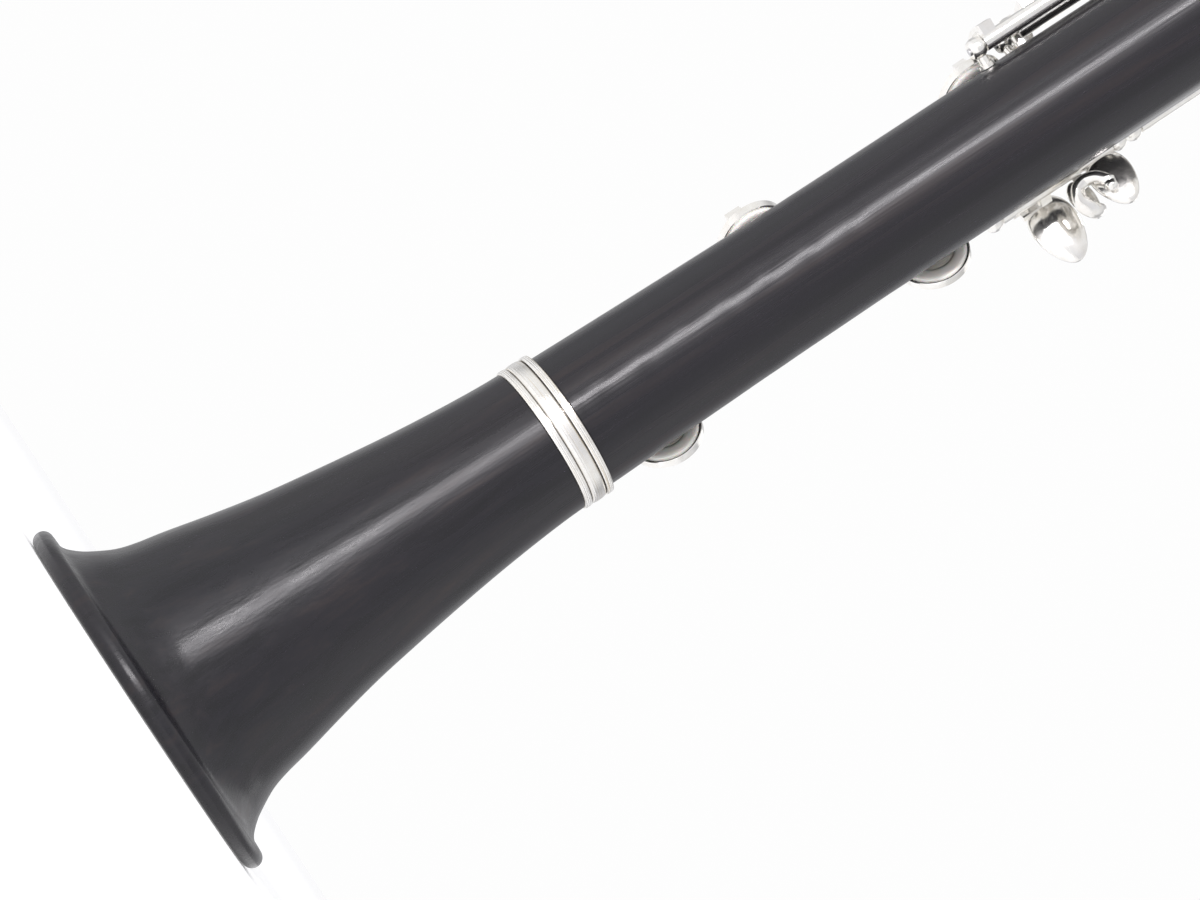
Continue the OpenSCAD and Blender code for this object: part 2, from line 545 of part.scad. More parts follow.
module upper_first_ring_key() {
    color("#d9d6cf") long_key(line_first, tube_lo(line_first), tube_hi(line_first)) {
        finger_ring(0, UPPER_RINGS[1], line_first[0]);
        arc_arm(line_first[0], 0, low_arm_r - 1.2, 442, 3);
        about(line_first[0], -5) {
            cup(0, 442, 5, seat_r);
            block(0, 442, seat_r + 3, 18, 3, 3);
        }
    }
    color("#efe9dc") about(line_first[0], -5) pad_disc(0, 442, 5, seat_r);
}

module upper_second_ring_key() {
    color("#d9d6cf") long_key(line_second, tube_lo(line_second), tube_hi(line_second)) {
        finger_ring(0, UPPER_RINGS[0], line_second[0]);
        arc_arm(line_second[0], 0, low_arm_r - 1.2, 379, 3);
        about(line_second[0], -5) {
            cup(0, 379, 5, seat_r);
            block(0, 379, seat_r + 3, 18, 3, 3);
        }
        // bridge arm reaching down to the lower joint
        arc_arm(line_second[0], -24, 16.9, 379, 3, 1.4);
        block(-26.3, 361, 16.9, 18.2, 2.4, 38);
    }
    color("#efe9dc") about(line_second[0], -5) pad_disc(0, 379, 5, seat_r);
}

module thumb_ring_key() {
    color("#d9d6cf") long_key(line_thumb, tube_lo(line_thumb), tube_hi(line_thumb)) {
        finger_ring(180, THUMB_Z, line_thumb[0]);
        arc_arm(line_thumb[0], 160, low_arm_r - 1.2, 407, 3);
        about(line_thumb[0], -6) {
            cup(160, 407, 4.6, seat_r);
            block(160, 407, seat_r + 3, 18, 3, 3);
        }
    }
    color("#efe9dc") about(line_thumb[0], -6) pad_disc(160, 407, 4.6, seat_r);
}

// Key on a short cross hinge: bar along the bore, cup at one end, touch at the other
module cross_key(k, bar_w, touch_w, touch_l, s) difference() {
    union() {
        at(k[0], k[1]) cross_pin(0, 3.7, tube_d / 2);
        block(k[0], (k[2] + k[1]) / 2, cross_pivot_r - 0.5, cross_pivot_r + 1, bar_w, k[2] - k[1]);
        block(k[0], (k[3] + k[1]) / 2, cross_pivot_r - 0.5, cross_pivot_r + 1, bar_w, k[1] - k[3]);
        block(k[0], k[2], s + 3, cross_pivot_r + 1, bar_w, 3);
        cup(k[0], k[2], k[4], s);
        at(k[0], k[3] + touch_l / 2) translate([0, -cross_pivot_r + 0.3, 0]) rotate([90, 0, 0])
            linear_extrude(1.5) polygon([for (p = leaf(touch_l, touch_w)) [p[1], p[0]]]);
    }
    at(k[0], k[1]) cross_pin(0, 20, rod_d / 2 + run_gap);
}

// Pad of a cross-hinged key
module cross_pad(k, s) pad_disc(k[0], k[2], k[4], s);

// Key and pad together, the pad a solid of its own
module side_key(k) {
    color("#d9d6cf") cross_key(k, 2.2, 5, 13, seat_r - 0.1);
    color("#efe9dc") cross_pad(k, seat_r - 0.1);
}
module side_key_1() side_key(trill_1);
module side_key_2() side_key(trill_2);
module side_key_3() side_key(trill_3);
module side_key_4() side_key(trill_4);

register_seat = 14.6;
module register_key() color("#d9d6cf") cross_key(key_register, 3.2, 8, 16, register_seat);
module register_pad() color("#efe9dc") cross_pad(key_register, register_seat);
module throat_a_key() color("#d9d6cf") cross_key(key_throat_a, 3.2, 8, 12, seat_r - 0.1);
module throat_a_pad() color("#efe9dc") cross_pad(key_throat_a, seat_r - 0.1);
module throat_g_sharp_key() color("#d9d6cf") cross_key(key_throat_gs, 3, 7, 12, seat_r - 0.1);
module throat_g_sharp_pad() color("#efe9dc") cross_pad(key_throat_gs, seat_r - 0.1);
module c_sharp_g_sharp_key() color("#d9d6cf") cross_key(key_cs_gs, 3, 10, 18, seat_r - 0.1);
module c_sharp_g_sharp_pad() color("#efe9dc") cross_pad(key_cs_gs, seat_r - 0.1);
module e_flat_b_flat_sliver_key() sliver_key(line_eb, 410.5, 58, 420, 4.6);

// ---------- the parts ----------

bell();
bell_ring();
lower_joint();
lower_joint_ring();
bell_tenon_cork();
upper_joint();
middle_tenon_cork();
top_tenon_cork();
barrel();
barrel_lower_ring();
barrel_upper_ring();
mouthpiece();
mouthpiece_cork();
reed();
ligature();
ligature_screws();
register_tube();
thumb_tube();
tone_hole_rings();
thumb_rest();
thumb_rest_screws();
lower_posts();
upper_posts();
lower_hinge_rods();
upper_hinge_rods();
cross_hinge_rods();
lower_needle_springs();
lower_ring_key();
lower_ring_pad();
e_b_key();
e_b_pad();
f_c_key();
f_c_pad();
f_sharp_c_sharp_key();
f_sharp_c_sharp_pad();
a_flat_e_flat_key();
a_flat_e_flat_pad();
left_e_b_lever();
left_f_c_lever();
left_f_sharp_c_sharp_lever();
b_f_sharp_sliver_key();
upper_first_ring_key();
upper_second_ring_key();
thumb_ring_key();
register_key();
register_pad();
throat_a_key();
throat_a_pad();
throat_g_sharp_key();
throat_g_sharp_pad();
side_key_1();
side_key_2();
side_key_3();
side_key_4();
c_sharp_g_sharp_key();
c_sharp_g_sharp_pad();
e_flat_b_flat_sliver_key();
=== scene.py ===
import json
import math

import bmesh
import bpy
from mathutils import Matrix, Vector


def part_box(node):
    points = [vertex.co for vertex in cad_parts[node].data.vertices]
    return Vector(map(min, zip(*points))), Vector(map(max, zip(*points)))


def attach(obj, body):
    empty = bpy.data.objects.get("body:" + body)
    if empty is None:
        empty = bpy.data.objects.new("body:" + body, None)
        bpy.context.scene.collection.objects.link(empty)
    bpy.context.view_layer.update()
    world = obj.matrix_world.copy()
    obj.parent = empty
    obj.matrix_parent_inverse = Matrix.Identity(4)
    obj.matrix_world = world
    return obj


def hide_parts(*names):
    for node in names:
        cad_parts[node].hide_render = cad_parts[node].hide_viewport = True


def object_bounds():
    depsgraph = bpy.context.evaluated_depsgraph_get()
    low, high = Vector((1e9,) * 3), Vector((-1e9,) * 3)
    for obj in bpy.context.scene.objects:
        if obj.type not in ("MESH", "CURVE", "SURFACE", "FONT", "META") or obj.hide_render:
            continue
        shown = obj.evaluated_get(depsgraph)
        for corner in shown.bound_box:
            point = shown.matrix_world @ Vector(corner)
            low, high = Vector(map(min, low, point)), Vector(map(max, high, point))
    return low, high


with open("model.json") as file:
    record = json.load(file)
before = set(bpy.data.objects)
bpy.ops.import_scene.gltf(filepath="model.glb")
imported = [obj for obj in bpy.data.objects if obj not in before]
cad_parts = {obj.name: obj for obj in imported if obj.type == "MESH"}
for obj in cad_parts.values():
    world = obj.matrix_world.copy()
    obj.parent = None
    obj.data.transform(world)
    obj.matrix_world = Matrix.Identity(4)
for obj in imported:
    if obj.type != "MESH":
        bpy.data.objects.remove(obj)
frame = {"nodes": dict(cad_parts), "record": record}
cad_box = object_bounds()
bpy.context.scene.world = bpy.data.worlds.new("studio")
bpy.context.scene.view_settings.view_transform = "Standard"
MM = 0.001
BODY = "clarinet_body"

# Heights on the instrument, from the frame
RING_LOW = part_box("bell_ring")[0][2]
TOP = cad_box[1][2]

# Distances from the bore's axis to the long hinge lines and to the pads' seats, in mm
HINGE_R = 18.6
SEAT_R = 13.15
UPPER_SEAT_R = 13.05

# Radius of a large pad, and how far a skin stands proud of a pad that is part of its key, in mm
BIG_PAD_R = 7.48
PROUD = 0.01


# ---------- node helpers ----------

def material(name, **inputs):
    """A node material and its principled shader, with plain inputs set on the shader's own sockets."""
    mat = bpy.data.materials.new(name)
    mat.use_nodes = True
    shader = mat.node_tree.nodes["Principled BSDF"]
    for key, value in inputs.items():
        shader.inputs[key.replace("_", " ")].default_value = value
    return mat, mat.node_tree, shader


def node(tree, kind, **settings):
    """A node; a setting that names a socket is linked or set, any other is a property."""
    made = tree.nodes.new("ShaderNode" + kind)
    for key, value in settings.items():
        name = key.replace("_", " ")
        socket = made.inputs.get(name)
        if socket is None:
            setattr(made, key, value)
        elif isinstance(value, bpy.types.NodeSocket):
            tree.links.new(value, socket)
        else:
            socket.default_value = value
    return made


def along(tree, scale):
    """Object coordinates times a scale for each axis; the bore is Z."""
    coords = node(tree, "TexCoord")
    return node(tree, "Mapping", Vector=coords.outputs["Object"], Scale=scale).outputs["Vector"]


def fractal(tree, vector, scale, detail=6.0, rough=0.55, distortion=0.0):
    """Fractal noise from 0 to 1."""
    made = node(tree, "TexNoise", Vector=vector, Scale=scale, Detail=detail, Roughness=rough,
                Distortion=distortion)
    return made.outputs["Fac"]


def ramp(tree, value, *stops):
    """Colour ramp with (place, colour) stops."""
    made = node(tree, "ValToRGB", Fac=value)
    elements = made.color_ramp.elements
    for element, (place, colour) in ((elements[0], stops[0]), (elements[1], stops[-1])):
        element.position = place
        element.color = (*colour, 1)
    for place, colour in stops[1:-1]:
        elements.new(place).color = (*colour, 1)
    return made.outputs["Color"]


def multiply(tree, one, two, share=1.0):
    """One colour multiplied by another, by a share of the way."""
    made = node(tree, "MixRGB", blend_type="MULTIPLY", Fac=share, Color1=one, Color2=two)
    return made.outputs["Color"]


def span(tree, value, low, high, start=0.3, end=0.7):
    """Maps start..end to low..high, and holds the ends."""
    made = node(tree, "MapRange", Value=value)
    for key, number in (("From Min", start), ("From Max", end), ("To Min", low), ("To Max", high)):
        made.inputs[key].default_value = number
    return made.outputs["Result"]


def from_axis(tree, radius):
    """Distance from the object's own Z axis, as a share of a radius in mm."""
    flat = along(tree, (1, 1, 0))
    reach = node(tree, "VectorMath", operation="LENGTH")
    tree.links.new(flat, reach.inputs[0])
    share = node(tree, "Math", operation="DIVIDE")
    tree.links.new(reach.outputs["Value"], share.inputs[0])
    share.inputs[1].default_value = radius * MM
    return share.outputs["Value"]


def bump(tree, shader, *layers):
    """Stacks (height, strength, distance) layers into the shader's normal."""
    normal = None
    for height, strength, distance in layers:
        made = node(tree, "Bump", Height=height, Strength=strength, Distance=distance)
        if normal is not None:
            tree.links.new(normal, made.inputs["Normal"])
        normal = made.outputs["Normal"]
    tree.links.new(normal, shader.inputs["Normal"])


# ---------- materials ----------

def grenadilla(name, polish=0.34, seed=0.0):
    """Oiled blackwood: near-black with faint red-brown streaks and fine pores along the bore."""
    mat, tree, shader = material(name, Specular_IOR_Level=0.5)
    grain = fractal(tree, along(tree, (260, 260, 7)), 1.0 + seed, 8.0, 0.62, 0.4)
    broad = fractal(tree, along(tree, (55, 55, 3.2)), 1.0 + seed, 4.0, 0.5, 0.6)
    pore_place = along(tree, (1500, 1500, 60))
    pores = node(tree, "TexVoronoi", Vector=pore_place, Scale=1.0, Randomness=1.0).outputs["Distance"]
    dark = ramp(tree, grain, (0.34, (0.0045, 0.0042, 0.0062)), (0.55, (0.008, 0.0072, 0.0105)),
                (0.74, (0.019, 0.0135, 0.0135)))
    warm = ramp(tree, broad, (0.35, (0.72, 0.74, 0.86)), (0.7, (1.2, 1.02, 1.0)))
    tree.links.new(multiply(tree, dark, warm, 0.8), shader.inputs["Base Color"])
    rough = node(tree, "Math", operation="ADD")
    tree.links.new(span(tree, grain, polish - 0.05, polish + 0.1), rough.inputs[0])
    tree.links.new(span(tree, pores, 0.06, 0.0, 0.0, 0.25), rough.inputs[1])
    tree.links.new(rough.outputs["Value"], shader.inputs["Roughness"])
    bump(tree, shader, (pores, 0.22, 0.00005), (grain, 0.3, 0.00006))
    return mat


def silver(name, rough=0.2, tarnish=0.35, groove_r=0):
    """Silver plate with soft warm tarnish, polishing swirls, hairline scratches and dark cut grooves."""
    mat, tree, shader = material(name, Metallic=1.0)
    cloud = fractal(tree, along(tree, (90, 90, 90)), 1.0, 5.0, 0.6)
    spots = fractal(tree, along(tree, (420, 420, 420)), 1.0, 6.0, 0.65)
    colour = ramp(tree, cloud, (0.3, (0.93, 0.925, 0.915)), (0.6, (0.9, 0.887, 0.855)),
                  (0.82, (0.8, 0.755, 0.68)))
    stained = (1 - tarnish * 0.5, 1 - tarnish * 0.58, 1 - tarnish * 0.7)
    speck = ramp(tree, spots, (0.3, (1.0, 1.0, 1.0)), (0.78, stained))
    paint = multiply(tree, colour, speck)
    if groove_r:
        depth = from_axis(tree, groove_r)
        dirt = ramp(tree, depth, (0.966, (0.12, 0.11, 0.1)), (0.979, (0.45, 0.42, 0.38)),
                    (0.99, (0.93, 0.92, 0.9)), (0.995, (1.0, 1.0, 1.0)))
        turned = fractal(tree, along(tree, (38, 38, 2600)), 1.0, 5.0, 0.62)
        stain = ramp(tree, turned, (0.56, (1.0, 1.0, 1.0)), (0.68, (0.86, 0.8, 0.7)),
                     (0.8, (0.5, 0.44, 0.37)))
        dirt = multiply(tree, dirt, stain)
        paint = multiply(tree, paint, dirt)
    tree.links.new(paint, shader.inputs["Base Color"])
    tree.links.new(span(tree, spots, rough - 0.05, rough + 0.12), shader.inputs["Roughness"])
    scratch = fractal(tree, along(tree, (2600, 300, 900)), 1.0, 3.0, 0.5, 0.3)
    layers = [(scratch, 0.12, 0.00003), (spots, 0.1, 0.00004)]
    if groove_r:
        wave = node(tree, "TexWave", Vector=along(tree, (1, 1, 1)), Scale=620.0, Distortion=0.6,
                    bands_direction="Z")
        wave.inputs["Detail"].default_value = 2.0
        layers.append((wave.outputs["Fac"], 0.25, 0.00005))
    bump(tree, shader, *layers)
    return mat


def pad_skin(name, radius):
    """Fish-skin pad: creamy white, faintly translucent, wrinkled, with a greyed dish inside the seat ring."""
    mat, tree, shader = material(name, Subsurface_Weight=0.15, Subsurface_Scale=0.0008, Sheen_Weight=0.15)
    blotch = fractal(tree, along(tree, (300, 300, 300)), 1.0, 5.0, 0.6)
    fine = fractal(tree, along(tree, (1400, 1400, 1400)), 1.0, 6.0, 0.65, 0.5)
    colour = ramp(tree, blotch, (0.3, (0.93, 0.91, 0.87)), (0.6, (0.88, 0.855, 0.8)),
                  (0.85, (0.74, 0.69, 0.61)))
    wear = ramp(tree, from_axis(tree, radius), (0.0, (0.8, 0.8, 0.79)), (0.54, (0.86, 0.85, 0.83)),
                (0.6, (0.6, 0.57, 0.53)), (0.64, (0.3, 0.28, 0.25)), (0.69, (0.92, 0.91, 0.89)),
                (1.0, (1.0, 1.0, 1.0)))
    tree.links.new(multiply(tree, colour, wear), shader.inputs["Base Color"])
    tree.links.new(span(tree, fine, 0.42, 0.62), shader.inputs["Roughness"])
    bump(tree, shader, (fine, 0.35, 0.00008), (blotch, 0.25, 0.0001))
    return mat


def cork(name):
    """Tenon cork: honey brown with dark lenticels, waxed by use."""
    mat, tree, shader = material(name)
    cells = node(tree, "TexVoronoi", Vector=along(tree, (700, 700, 700)), Scale=1.0).outputs["Distance"]
    fleck = fractal(tree, along(tree, (380, 380, 900)), 1.0, 5.0, 0.7)
    colour = ramp(tree, fleck, (0.3, (0.12, 0.06, 0.03)), (0.42, (0.42, 0.25, 0.12)), (0.7, (0.6, 0.4, 0.22)))
    tree.links.new(colour, shader.inputs["Base Color"])
    tree.links.new(span(tree, fleck, 0.6, 0.85), shader.inputs["Roughness"])
    bump(tree, shader, (cells, 0.4, 0.00012), (fleck, 0.5, 0.0001))
    return mat


def ebonite(name):
    """Polished hard rubber with a slight haze and wipe marks."""
    mat, tree, shader = material(name, Specular_IOR_Level=0.55)
    haze = fractal(tree, along(tree, (120, 120, 40)), 1.0, 5.0, 0.6)
    fine = fractal(tree, along(tree, (1800, 1800, 240)), 1.0, 4.0, 0.5)
    colour = ramp(tree, haze, (0.3, (0.006, 0.006, 0.0065)), (0.75, (0.018, 0.016, 0.014)))
    tree.links.new(colour, shader.inputs["Base Color"])
    tree.links.new(span(tree, haze, 0.1, 0.26), shader.inputs["Roughness"])
    bump(tree, shader, (fine, 0.08, 0.00003))
    return mat


def cane(name):
    """Reed cane: straw yellow with fibres along its length and a few brown flecks."""
    mat, tree, shader = material(name, Subsurface_Weight=0.1, Subsurface_Scale=0.001)
    fibre = fractal(tree, along(tree, (1600, 1600, 22)), 1.0, 6.0, 0.6)
    fleck = fractal(tree, along(tree, (420, 420, 70)), 1.0, 4.0, 0.7)
    base = ramp(tree, fibre, (0.3, (0.52, 0.38, 0.17)), (0.7, (0.78, 0.63, 0.36)))
    spot = ramp(tree, fleck, (0.62, (1.0, 1.0, 1.0)), (0.8, (0.55, 0.42, 0.28)))
    tree.links.new(multiply(tree, base, spot, 0.9), shader.inputs["Base Color"])
    tree.links.new(span(tree, fibre, 0.45, 0.7), shader.inputs["Roughness"])
    bump(tree, shader, (fibre, 0.4, 0.00008))
    return mat


def steel(name, blued=False):
    """Drawn steel rod, turned bright, or tempered blue for the springs."""
    mat, tree, shader = material(name, Metallic=1.0)
    streak = fractal(tree, along(tree, (1500, 1500, 60)), 1.0, 4.0, 0.6)
    low, high = ((0.05, 0.07, 0.13), (0.16, 0.17, 0.24)) if blued else ((0.5, 0.5, 0.52), (0.68, 0.68, 0.69))
    tree.links.new(ramp(tree, streak, (0.3, low), (0.7, high)), shader.inputs["Base Color"])
    tree.links.new(span(tree, streak, 0.22, 0.4), shader.inputs["Roughness"])
    bump(tree, shader, (streak, 0.2, 0.00004))
    return mat


MATERIALS = {
    "grenadilla_wood": grenadilla("joint_wood", 0.23),
    "cork": cork("tenon_cork"),
    "silver_bands": silver("band_silver", 0.2, 0.2),
    "silver_keys": silver("key_silver", 0.14, 0.25),
    "spring_steel": steel("rod_steel"),
    "ebonite": ebonite("hard_rubber"),
    "cane": cane("reed_cane"),
    "pad_skin": pad_skin("pad_skin", BIG_PAD_R),
}
PAD_SKINS = {
    BIG_PAD_R: MATERIALS["pad_skin"],
    4.6: pad_skin("small_pad_skin", 4.7),
    3.8: pad_skin("tiny_pad_skin", 3.9),
}
BELL_WOOD = grenadilla("bell_wood", 0.26, 0.15)
BLUED = steel("blued_steel", blued=True)


def smooth_by_angle(degrees):
    """Modifier group that joins a node's split vertices and smooths every edge below an angle."""
    group = bpy.data.node_groups.new("smooth_by_angle", "GeometryNodeTree")
    for way in ("INPUT", "OUTPUT"):
        group.interface.new_socket("Geometry", in_out=way, socket_type="NodeSocketGeometry")
    made = {}
    for key, kind in (("start", "NodeGroupInput"), ("merge", "GeometryNodeMergeByDistance"),
                      ("clear", "GeometryNodeRemoveAttribute"), ("faces", "GeometryNodeSetShadeSmooth"),
                      ("edges", "GeometryNodeSetShadeSmooth"), ("end", "NodeGroupOutput")):
        made[key] = group.nodes.new(kind)
    made["merge"].inputs["Distance"].default_value = 0.000004
    made["clear"].inputs["Name"].default_value = "custom_normal"
    made["edges"].domain = "EDGE"
    angle = group.nodes.new("GeometryNodeInputMeshEdgeAngle")
    under = group.nodes.new("FunctionNodeCompare")
    under.operation = "LESS_THAN"
    under.inputs[1].default_value = math.radians(degrees)
    group.links.new(angle.outputs["Unsigned Angle"], under.inputs[0])
    group.links.new(under.outputs[0], made["edges"].inputs["Shade Smooth"])
    chain = [made[key] for key in ("start", "merge", "clear", "faces", "edges", "end")]
    for one, two in zip(chain, chain[1:]):
        group.links.new(one.outputs[0], two.inputs[0])
    return group


SMOOTHING = smooth_by_angle(34)


def soften(obj, width):
    """Small rounded edges on a CAD node, so that they catch the light."""
    obj.modifiers.new("smoothing", "NODES").node_group = SMOOTHING
    bevel = obj.modifiers.new("bevel", "BEVEL")
    bevel.width = width * MM
    bevel.segments = 2
    bevel.angle_limit = math.radians(40)
    bevel.use_clamp_overlap = True
    smooth = obj.modifiers.new("normals", "WEIGHTED_NORMAL")
    smooth.keep_sharp = True
    smooth.weight = 50


def dress_nodes():
    """Gives every CAD node the material of its slot, and softens its edges."""
    slots = {entry["node"]: entry["material_slot"] for entry in frame["record"]["subparts"]}
    for name, obj in frame["nodes"].items():
        obj.material_slots[0].material = MATERIALS[slots[name]]
        soften(obj, 0.3 if slots[name] in ("grenadilla_wood", "ebonite") else 0.14)
    frame["nodes"]["lower_needle_springs"].material_slots[0].material = BLUED


# ---------- mesh helpers ----------

def curve(points, steps=5):
    """Smooth line through a list of points with any number of coordinates."""
    ends = [points[0], *points, points[-1]]
    out = []
    for quad in zip(ends, ends[1:], ends[2:], ends[3:]):
        for k in range(steps):
            t = k / steps
            out.append([
                0.5 * (2 * b + (c - a) * t + (2 * a - 5 * b + 4 * c - d) * t * t
                       + (3 * b - a - 3 * c + d) * t ** 3)
                for a, b, c, d in zip(*quad)
            ])
    return out + [list(points[-1])]


def arc(x, z, r, start, end, steps=10):
    """Points on a circle from one angle to another, in degrees."""
    turns = [math.radians(start + (end - start) * k / steps) for k in range(steps + 1)]
    return [[x + r * math.cos(a), z + r * math.sin(a)] for a in turns]


def lathe(outline, sides=144):
    """Turned closed mesh from (radius, height) points in mm: solid if it ends on the axis, else a ring."""
    mesh = bmesh.new()
    rings = []
    for r, z in outline:
        if r < 1e-6:
            rings.append([mesh.verts.new((0, 0, z * MM))])
        else:
            turns = [2 * math.pi * k / sides for k in range(sides)]
            spots = [(r * math.cos(a) * MM, r * math.sin(a) * MM, z * MM) for a in turns]
            rings.append([mesh.verts.new(spot) for spot in spots])
    if len(rings[0]) > 1:
        rings.append(rings[0])
    for low, high in zip(rings, rings[1:]):
        for k in range(sides):
            n = (k + 1) % sides
            if len(low) == 1:
                mesh.faces.new((low[0], high[n], high[k]))
            elif len(high) == 1:
                mesh.faces.new((low[k], low[n], high[0]))
            else:
                mesh.faces.new((low[k], low[n], high[n], high[k]))
    return mesh


def piece(name, mesh, mat, body=BODY, place=None, stands_for=(), sharp=38):
    """A finished visual piece: smooth shading, material, slot, place and the body it rides on."""
    bmesh.ops.recalc_face_normals(mesh, faces=mesh.faces)
    data = bpy.data.meshes.new(name)
    mesh.to_mesh(data)
    mesh.free()
    data.shade_smooth()
    data.set_sharp_from_angle(angle=math.radians(sharp))
    data.materials.append(mat)
    made = bpy.data.objects.new(name, data)
    bpy.context.collection.objects.link(made)
    if place is not None:
        made.matrix_world = place
    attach(made, body)
    if stands_for:
        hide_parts(*stands_for)


def outward(t, z, r):
    """Place at angle t round the bore from the front: local z points out, y up the bore."""
    a = math.radians(t)
    out, side = Vector((math.sin(a), -math.cos(a), 0)), Vector((math.cos(a), math.sin(a), 0))
    made = Matrix((side, (0, 0, 1), out)).transposed().to_4x4()
    made.translation = out * r * MM + Vector((0, 0, z * MM))
    return made


def about(t, angle):
    """Turn about the long hinge line at angle t."""
    a = math.radians(t)
    hinge = Vector((math.sin(a), -math.cos(a), 0)) * HINGE_R * MM
    turn = Matrix.Rotation(math.radians(angle), 4, "Z")
    return Matrix.Translation(hinge) @ turn @ Matrix.Translation(-hinge)


# ---------- turned wood and silver ----------

def turned_bell():
    """Bell with a rolled bead at its rim, smooth flare outside and in, and a shoulder under the ring."""
    shoulder = RING_LOW / MM - 0.05
    top = shoulder + 7
    outside = [[35.5, 4.1], [33.9, 4.9], [32, 6.9], [30.6, 9], [28.5, 13], [27.3, 17], [26.1, 23],
               [23.9, 32.7], [21.9, 42.6], [20.35, 52.6], [18.95, 62.6], [17.7, 72.6], [16.7, 82.7],
               [16.1, 90.8], [15.9, shoulder]]
    inside = [[11.1, top - 20.1], [14, 62.6], [17, 42.6], [21.3, 23], [24.3, 13], [26.4, 9],
              [29.2, 4.6], [32.2, 1.2], [33.8, 0.25], [35, 0.02]]
    outline = arc(37.4, 2.1, 2.1, -95, 118, 22) + curve(outside)
    outline += [[14.8, shoulder], [14.8, top], [12.48, top], [12.48, top - 20.1]] + curve(inside)
    piece("turned_bell", lathe(outline, 192), BELL_WOOD, stands_for=["bell"])


def band(name, inner):
    """Silver ring over its CAD node: flat, groove, rounded bead, groove, flat, with fine cut lines."""
    low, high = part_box(name)
    r, z0, h = high[0] / MM, low[2] / MM, (high[2] - low[2]) / MM
    mat = silver(name + "_silver", 0.18, 0.2, r)
    outline = [[inner, z0], [r - 0.4, z0], [r - 0.32, z0 + 0.08]]
    for start, end in ((0.02, 0.235), (0.765, 0.98)):
        lines = [[r - 0.1, z0 + start * h]]
        for k in range(1, 4):
            mid = z0 + (start + (end - start) * k / 4) * h
            lines += [[r - 0.02, mid - 0.06], [r - 0.08, mid], [r - 0.02, mid + 0.06]]
        lines.append([r - 0.1, z0 + end * h])
        if start < 0.5:
            outline += lines + [[r - 0.45, z0 + 0.245 * h], [r - 0.45, z0 + 0.265 * h]]
            for a in map(math.radians, range(-84, 85, 12)):
                outline.append([r - 0.34 + 0.34 * math.cos(a), z0 + h * (0.498 + 0.228 * math.sin(a))])
            outline += [[r - 0.55, z0 + 0.73 * h], [r - 0.55, z0 + 0.752 * h]]
        else:
            outline += lines
    outline += [[r - 0.32, z0 + h - 0.08], [r - 0.4, z0 + h], [inner, z0 + h]]
    piece(name + "_turned", lathe(outline, 168), mat, stands_for=[name], sharp=50)


# ---------- pads and touches ----------

def pad(name, body, place, r):
    """Skin-covered pad: rolled edge, shallow dish inside the seat's pressed ring."""
    face = [[0, 0.42], [0.3 * r, 0.4], [0.5 * r, 0.36], [0.56 * r, 0.3], [0.6 * r, 0.34], [0.63 * r, 0.42],
            [0.665 * r, 0.3], [0.7 * r, 0.1], [0.78 * r, 0.01], [0.88 * r, 0.02], [0.95 * r, 0.16],
            [0.99 * r, 0.45], [r, 0.8]]
    outline = curve(face, 4) + [[r, 1.6], [0.97 * r, 2.2], [0.9 * r, 2.55], [0, 2.6]]
    skin = PAD_SKINS[min(PAD_SKINS, key=lambda k: abs(k - r))]
    stands_for = [name] if name in frame["nodes"] else ()
    piece(name + "_skin", lathe(outline, 96), skin, body, place, stands_for)


def leaf_touch(name, body, t, z, r, length, width, tilt, dome=0.45, belly=0.0):
    """Rounded finger touch over the flat leaf of a key, slightly dished along its middle."""
    turn = Matrix.Rotation(math.radians(t), 4, "Z") @ Matrix.Translation((0, -r * MM, z * MM))
    place = turn @ Matrix.Rotation(math.radians(tilt), 4, "Z") @ Matrix.Rotation(math.radians(90), 4, "X")
    sign = -1 if length > 0 else 1
    long, half = abs(length), width / 2
    mesh = bmesh.new()
    rows, cols = 28, 14
    sheets = []
    for side in (1, -1):
        sheet = []
        for i in range(rows + 1):
            a = math.pi * i / rows
            u = (1 - math.cos(a)) / 2
            w = (half + 0.15) * math.sin(a) * (1.12 - 0.35 * u) + 0.12
            x = sign * (long + 0.3) * u - sign * 0.15
            row = []
            for j in range(cols + 1):
                v = math.sin(math.pi / 2 * (2 * j / cols - 1))
                edge = math.sqrt(max(0.0, 1 - v * v)) * math.sqrt(max(0.0, math.sin(a)))
                lift = 0.6 + side * (0.72 * edge ** 0.35 if edge > 0 else 0)
                lift += dome * edge * edge if side > 0 else -belly * edge * edge
                row.append(mesh.verts.new((x * MM, w * v * MM, lift * MM)))
            sheet.append(row)
        sheets.append(sheet)
    for sheet in sheets:
        for i in range(rows):
            for j in range(cols):
                mesh.faces.new((sheet[i][j], sheet[i + 1][j], sheet[i + 1][j + 1], sheet[i][j + 1]))
    bmesh.ops.remove_doubles(mesh, verts=mesh.verts, dist=0.00002)
    piece(name, mesh, MATERIALS["silver_keys"], body, place, sharp=60)


